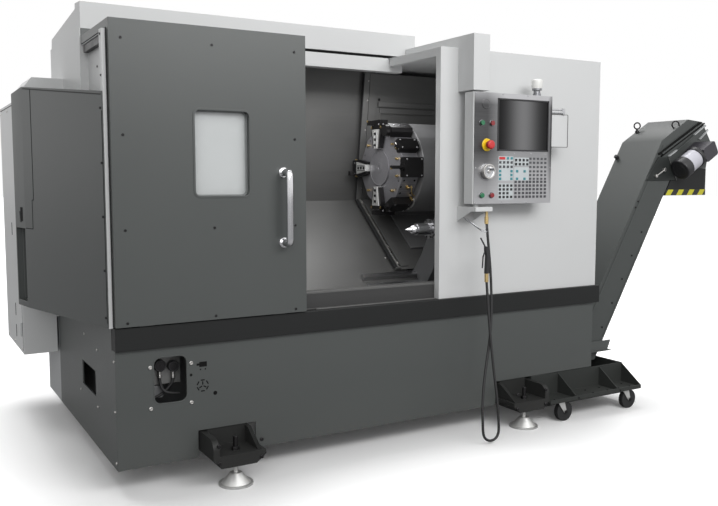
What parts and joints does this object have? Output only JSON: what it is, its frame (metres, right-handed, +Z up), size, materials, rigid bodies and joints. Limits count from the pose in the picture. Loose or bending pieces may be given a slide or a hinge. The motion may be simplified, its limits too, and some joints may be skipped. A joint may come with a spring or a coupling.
{
  "type": "cnc turning lathe",
  "caption": "Slant-bed turning lathe with sliding door, tool turret, tailstock, operator pendant, air gun, chip conveyor and coolant tank.",
  "frame": {"origin": "centre of the machine footprint at floor level, without the air line", "axes": "+X to the right along the spindle, +Y to the back, +Z up"},
  "size_m": [4.057, 2.1224, 2.101],
  "materials": {
    "charcoal_paint": "satin",
    "light_paint": "satin",
    "black_paint": "satin",
    "silver_paint": "satin",
    "cast_iron": "matte",
    "dark_steel": "satin",
    "ground_steel": "ground",
    "cover_steel": "brushed",
    "turret_steel": "brushed",
    "zinc_steel": "bright",
    "face_steel": "brushed",
    "belt_steel": "plain",
    "brass": "plain",
    "pane": "clear",
    "screen_plastic": "gloss",
    "chrome": "polished",
    "red_plastic": "gloss",
    "green_plastic": "gloss",
    "white_plastic": "satin",
    "black_plastic": "matte",
    "rubber": "matte"
  },
  "bodies": {
    "machine": {"bed_casting": "cast_iron", "guide_ways": "ground_steel", "base_front_skirt": "charcoal_paint", "base_left_skirt": "charcoal_paint", "base_rear_skirt": "silver_paint", "sill_rail": "black_paint", "left_end_cover": "charcoal_paint", "rear_cabinet": "light_paint", "left_enclosure": "light_paint", "right_enclosure": "light_paint", "hood": "light_paint", "header_beam": "light_paint", "way_cover": "cover_steel", "headstock": "cast_iron", "pendant_arm": "light_paint", "pendant_bracket": "light_paint", "air_hose": "rubber", "air_fittings": "brass", "air_gun": "black_plastic", "conveyor_body": "charcoal_paint", "conveyor_chute": "black_paint", "conveyor_belt": "belt_steel", "conveyor_gearmotor": "black_paint", "coolant_tank": "black_paint", "foot_brackets": "black_paint", "levelling_feet": "zinc_steel"},
    "door": {"door_shell": "charcoal_paint", "door_window": "pane", "door_handle": "chrome"},
    "spindle": {"chuck": "ground_steel"},
    "jaw_1": {"chuck_jaw_1": "ground_steel"},
    "jaw_2": {"chuck_jaw_2": "ground_steel"},
    "jaw_3": {"chuck_jaw_3": "ground_steel"},
    "carriage": {"saddle": "cast_iron", "carriage_cover": "cover_steel"},
    "cross_slide": {"turret_housing": "dark_steel"},
    "turret": {"turret_disc": "turret_steel", "tool_holders": "dark_steel", "wedge_clamps": "zinc_steel", "coolant_nozzles": "brass"},
    "tailstock": {"tailstock_body": "cast_iron"},
    "quill": {"tailstock_quill": "ground_steel"},
    "centre": {"live_centre": "ground_steel"},
    "pendant": {"pendant_case": "light_paint", "pendant_faceplate": "face_steel", "pendant_screen": "screen_plastic", "document_holder": "light_paint", "beacon": "white_plastic"},
    "power_on": {"power_on_button": "green_plastic"},
    "power_off": {"power_off_button": "red_plastic"},
    "cycle_start": {"cycle_start_button": "green_plastic"},
    "feed_hold": {"feed_hold_button": "red_plastic"},
    "emergency_stop": {"stop_knob": "red_plastic"},
    "handwheel": {"jog_wheel": "zinc_steel"},
    "lever": {"air_gun_lever": "black_plastic"},
    "caster_left": {"caster_fork_left": "zinc_steel"},
    "caster_right": {"caster_fork_right": "zinc_steel"},
    "wheel_left": {"caster_wheel_left": "rubber"},
    "wheel_right": {"caster_wheel_right": "rubber"},
    "conveyor_drive": {"conveyor_shaft": "ground_steel"}
  },
  "joints": [
    {"name": "door_slide", "type": "slide", "parent": "machine", "child": "door", "axis": [1, 0, 0], "range_m": [0, 0.755]},
    {"name": "spindle_spin", "type": "hinge", "parent": "machine", "child": "spindle", "pos_m": [-1.4435, -0.6445, 1.05], "axis": [1, 0, 0], "continuous": true},
    {"name": "jaw_1_slide", "type": "slide", "parent": "spindle", "child": "jaw_1", "axis": [0, 0, 1], "range_m": [-0.008, 0.008]},
    {"name": "jaw_2_slide", "type": "slide", "parent": "spindle", "child": "jaw_2", "axis": [0, -0.866, -0.5], "range_m": [-0.008, 0.008]},
    {"name": "jaw_3_slide", "type": "slide", "parent": "spindle", "child": "jaw_3", "axis": [0, 0.866, -0.5], "range_m": [-0.008, 0.008]},
    {"name": "carriage_slide", "type": "slide", "parent": "machine", "child": "carriage", "axis": [1, 0, 0], "range_m": [-0.7, 0.02]},
    {"name": "cross_slide_slide", "type": "slide", "parent": "carriage", "child": "cross_slide", "axis": [0, 0.766, 0.6428], "range_m": [-0.15, 0]},
    {"name": "turret_index", "type": "hinge", "parent": "cross_slide", "child": "turret", "pos_m": [-0.0835, -0.25765, 1.37461], "axis": [1, 0, 0], "continuous": true},
    {"name": "tailstock_slide", "type": "slide", "parent": "machine", "child": "tailstock", "axis": [1, 0, 0], "range_m": [-0.35, 0]},
    {"name": "quill_slide", "type": "slide", "parent": "tailstock", "child": "quill", "axis": [1, 0, 0], "range_m": [-0.1, 0]},
    {"name": "centre_spin", "type": "hinge", "parent": "quill", "child": "centre", "pos_m": [-0.1335, -0.6445, 1.05], "axis": [1, 0, 0], "continuous": true},
    {"name": "pendant_swivel", "type": "hinge", "parent": "machine", "child": "pendant", "pos_m": [-0.0155, -0.9425, 1.46], "axis": [0, 0, -1], "range_deg": [0, 90]},
    {"name": "power_on_press", "type": "slide", "parent": "pendant", "child": "power_on", "axis": [0, 1, 0], "range_m": [0, 0.003], "stiffness_N_per_m": 400},
    {"name": "power_off_press", "type": "slide", "parent": "pendant", "child": "power_off", "axis": [0, 1, 0], "range_m": [0, 0.003], "stiffness_N_per_m": 400},
    {"name": "cycle_start_press", "type": "slide", "parent": "pendant", "child": "cycle_start", "axis": [0, 1, 0], "range_m": [0, 0.003], "stiffness_N_per_m": 400},
    {"name": "feed_hold_press", "type": "slide", "parent": "pendant", "child": "feed_hold", "axis": [0, 1, 0], "range_m": [0, 0.003], "stiffness_N_per_m": 400},
    {"name": "emergency_stop_press", "type": "slide", "parent": "pendant", "child": "emergency_stop", "axis": [0, 1, 0], "range_m": [0, 0.003], "stiffness_N_per_m": 1500},
    {"name": "handwheel_turn", "type": "hinge", "parent": "pendant", "child": "handwheel", "pos_m": [0.0225, -0.9945, 1.349], "axis": [0, 1, 0], "continuous": true},
    {"name": "lever_squeeze", "type": "hinge", "parent": "machine", "child": "lever", "pos_m": [-0.0205, -1.0325, 0.964], "axis": [0, -1, 0], "range_deg": [0, 8], "stiffness_Nm_per_rad": 2},
    {"name": "caster_swivel_left", "type": "hinge", "parent": "machine", "child": "caster_left", "pos_m": [0.5485, -0.9725, 0.112], "axis": [0, 0, 1], "continuous": true},
    {"name": "wheel_spin_left", "type": "hinge", "parent": "caster_left", "child": "wheel_left", "pos_m": [0.5825, -0.9725, 0.054], "axis": [0, 1, 0], "continuous": true},
    {"name": "caster_swivel_right", "type": "hinge", "parent": "machine", "child": "caster_right", "pos_m": [1.0465, -0.9725, 0.112], "axis": [0, 0, 1], "continuous": true},
    {"name": "wheel_spin_right", "type": "hinge", "parent": "caster_right", "child": "wheel_right", "pos_m": [1.0805, -0.9725, 0.054], "axis": [0, 1, 0], "continuous": true},
    {"name": "conveyor_drive_spin", "type": "hinge", "parent": "machine", "child": "conveyor_drive", "pos_m": [1.8565, -0.5995, 1.48], "axis": [0, 1, 0], "continuous": true}
  ],
  "couplings": [
    {"joint": "jaw_2_slide", "follows": "jaw_1_slide", "ratio": 1},
    {"joint": "jaw_3_slide", "follows": "jaw_1_slide", "ratio": 1}
  ]
}
